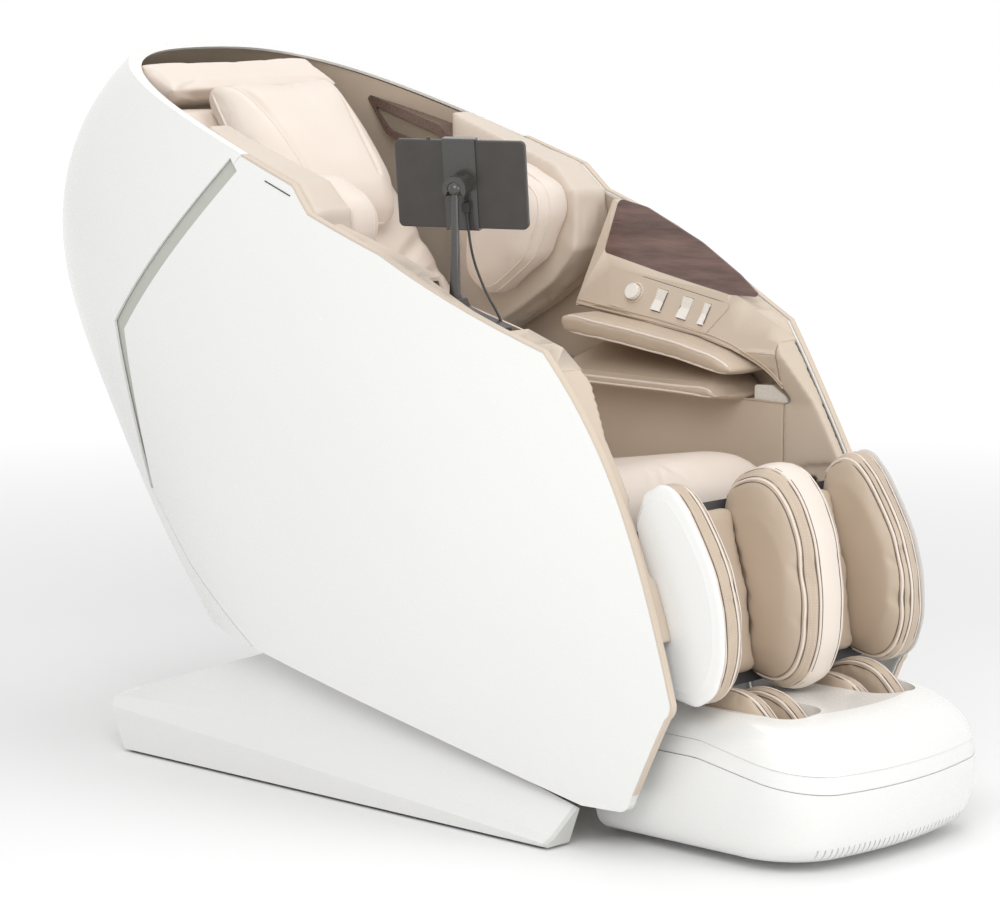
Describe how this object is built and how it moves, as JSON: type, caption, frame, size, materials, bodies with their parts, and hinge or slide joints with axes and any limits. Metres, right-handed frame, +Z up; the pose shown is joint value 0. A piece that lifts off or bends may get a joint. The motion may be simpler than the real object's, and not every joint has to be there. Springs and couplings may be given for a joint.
{
  "type": "massage chair",
  "caption": "Cabin style massage chair with a white egg shaped shell, beige padded lining, arm tunnels, calf and foot rest and a tablet on a stalk",
  "frame": {"origin": "on the floor under the middle of the chair's bounding box", "axes": "the chair faces -Y, +Z is up, X = 0 is the plane between its two halves, the tablet is on the sitter's right at -X"},
  "size_m": [0.7856, 1.7948, 1.2033],
  "materials": {
    "white_shell": "smooth pearl white moulding, semi gloss",
    "grey_strip": "satin translucent grey light strip",
    "beige_trim": "satin beige edge moulding",
    "beige_panel": "soft touch beige panel",
    "beige_leather": "fine grained synthetic leather with stitched seams",
    "pale_leather": "soft pale synthetic leather",
    "wood": "dark veneer, satin lacquer",
    "speaker_bezel": "dark brown gloss bezel",
    "mesh": "woven speaker mesh",
    "button_white": "polished off white keys",
    "dark_plastic": "matte black plastic",
    "dark_metal": "black lacquered metal, gloss",
    "frame_steel": "powder coated steel",
    "bright_steel": "ground rods",
    "rubber": "matte rubber"
  },
  "bodies": {
    "base": {"base_frame": "frame_steel", "base_shroud": "white_shell", "skid_end_caps": "grey_strip", "base_feet": "rubber", "power_box": "dark_plastic", "air_pump": "dark_plastic"},
    "transport_wheels": {"transport_wheels": "rubber"},
    "tilt_motor": {"tilt_motor": "dark_plastic"},
    "tilt_rod": {"tilt_rod": "bright_steel"},
    "capsule": {"seat_side_plates": "frame_steel", "cross_tubes": "frame_steel", "seat_pan": "frame_steel", "back_rails": "frame_steel", "side_shell_left": "white_shell", "side_shell_right": "white_shell", "rear_shell": "white_shell", "light_strips": "grey_strip", "edge_trims": "beige_trim", "armrest_left": "beige_panel", "armrest_right": "beige_panel", "hood_liner": "beige_panel", "headrest_wings": "beige_panel", "wood_inlays": "wood", "control_panel": "beige_panel", "back_top_panel": "pale_leather", "back_cushion": "pale_leather", "pillow": "pale_leather", "seat_cushion": "pale_leather", "shoulder_pads": "pale_leather", "arm_pads_upper": "beige_leather", "arm_pads_lower": "beige_leather", "hand_rests": "button_white", "speaker_frames": "speaker_bezel", "speaker_grilles": "mesh", "tablet_tray": "dark_plastic", "tablet_cable": "rubber", "cable_relief_lower": "rubber"},
    "tablet_stalk": {"tablet_stalk": "dark_metal"},
    "massage_carriage": {"massage_carriage": "dark_plastic"},
    "massage_rollers": {"massage_rollers": "rubber"},
    "control_knob": {"control_knob": "button_white"},
    "rocker_1": {"rocker_1": "button_white"},
    "rocker_2": {"rocker_2": "button_white"},
    "rocker_3": {"rocker_3": "button_white"},
    "tablet": {"tablet": "dark_plastic", "tablet_bracket": "dark_metal", "ball_socket": "dark_metal", "cable_relief_upper": "rubber"},
    "calf_rest": {"calf_frame": "frame_steel", "calf_covers": "white_shell", "calf_pad_left": "beige_leather", "calf_pad_right": "beige_leather", "calf_divider": "pale_leather", "calf_back_pads": "beige_leather"},
    "foot_unit": {"foot_shell_lower": "white_shell", "foot_shell_upper": "white_shell", "foot_trim_band": "white_shell", "foot_guide_rods": "bright_steel", "foot_pads": "beige_leather"},
    "sole_rollers": {"sole_rollers": "rubber"}
  },
  "joints": [
    {"name": "wheel_roll", "type": "hinge", "parent": "base", "child": "transport_wheels", "pos_m": [0, 0.4834, 0.027], "axis": [1, 0, 0], "continuous": true},
    {"name": "capsule_tilt", "type": "hinge", "parent": "base", "child": "capsule", "pos_m": [0, 0.2074, 0.235], "axis": [-1, 0, 0], "range_deg": [0, 25]},
    {"name": "drive_swing", "type": "hinge", "parent": "base", "child": "tilt_motor", "pos_m": [0, -0.2176, 0.082], "axis": [1, 0, 0], "range_deg": [0, 4.05]},
    {"name": "drive_stroke", "type": "slide", "parent": "tilt_motor", "child": "tilt_rod", "axis": [0, 0.7182, 0.6958], "range_m": [0, 0.08697]},
    {"name": "carriage_travel", "type": "slide", "parent": "capsule", "child": "massage_carriage", "axis": [0, 0.639, 0.7692], "range_m": [-0.15, 0.3]},
    {"name": "roller_rock", "type": "hinge", "parent": "massage_carriage", "child": "massage_rollers", "pos_m": [0, 0.32443, 0.63596], "axis": [1, 0, 0], "range_deg": [-10, 10]},
    {"name": "knob_turn", "type": "hinge", "parent": "capsule", "child": "control_knob", "pos_m": [0.26487, -0.09929, 0.79194], "axis": [-0.9202, 0, 0.3915], "range_deg": [-135, 135]},
    {"name": "rocker_1_press", "type": "hinge", "parent": "capsule", "child": "rocker_1", "pos_m": [0.26295, -0.15852, 0.78233], "axis": [-0.0626, -0.9871, -0.1471], "range_deg": [-6, 6], "stiffness_Nm_per_rad": 0.5},
    {"name": "rocker_2_press", "type": "hinge", "parent": "capsule", "child": "rocker_2", "pos_m": [0.2592, -0.21775, 0.77351], "axis": [-0.0626, -0.9871, -0.1471], "range_deg": [-6, 6], "stiffness_Nm_per_rad": 0.5},
    {"name": "rocker_3_press", "type": "hinge", "parent": "capsule", "child": "rocker_3", "pos_m": [0.25638, -0.26217, 0.76689], "axis": [-0.0626, -0.9871, -0.1471], "range_deg": [-6, 6], "stiffness_Nm_per_rad": 0.5},
    {"name": "tablet_pan", "type": "hinge", "parent": "capsule", "child": "tablet_stalk", "pos_m": [-0.3, -0.2166, 1.006], "axis": [0, 0, 1], "range_deg": [-25, 25], "deforming": ["tablet_cable"]},
    {"name": "tablet_tilt", "type": "hinge", "parent": "tablet_stalk", "child": "tablet", "pos_m": [-0.3, -0.2166, 1.006], "axis": [-0.3907, 0.9205, 0], "range_deg": [-15, 15], "deforming": ["tablet_cable"]},
    {"name": "calf_swing", "type": "hinge", "parent": "capsule", "child": "calf_rest", "pos_m": [0, -0.5326, 0.5], "axis": [-1, 0, 0], "range_deg": [0, 75]},
    {"name": "foot_reach", "type": "slide", "parent": "calf_rest", "child": "foot_unit", "axis": [0, -0.2062, -0.9785], "range_m": [0, 0.12]},
    {"name": "sole_spin", "type": "hinge", "parent": "foot_unit", "child": "sole_rollers", "pos_m": [0, -0.6976, 0.099], "axis": [1, 0, 0], "continuous": true}
  ],
  "couplings": [
    {"joint": "drive_swing", "follows": "capsule_tilt", "ratio": 0.162},
    {"joint": "drive_stroke", "follows": "capsule_tilt", "m_per_rad": 0.19931}
  ]
}
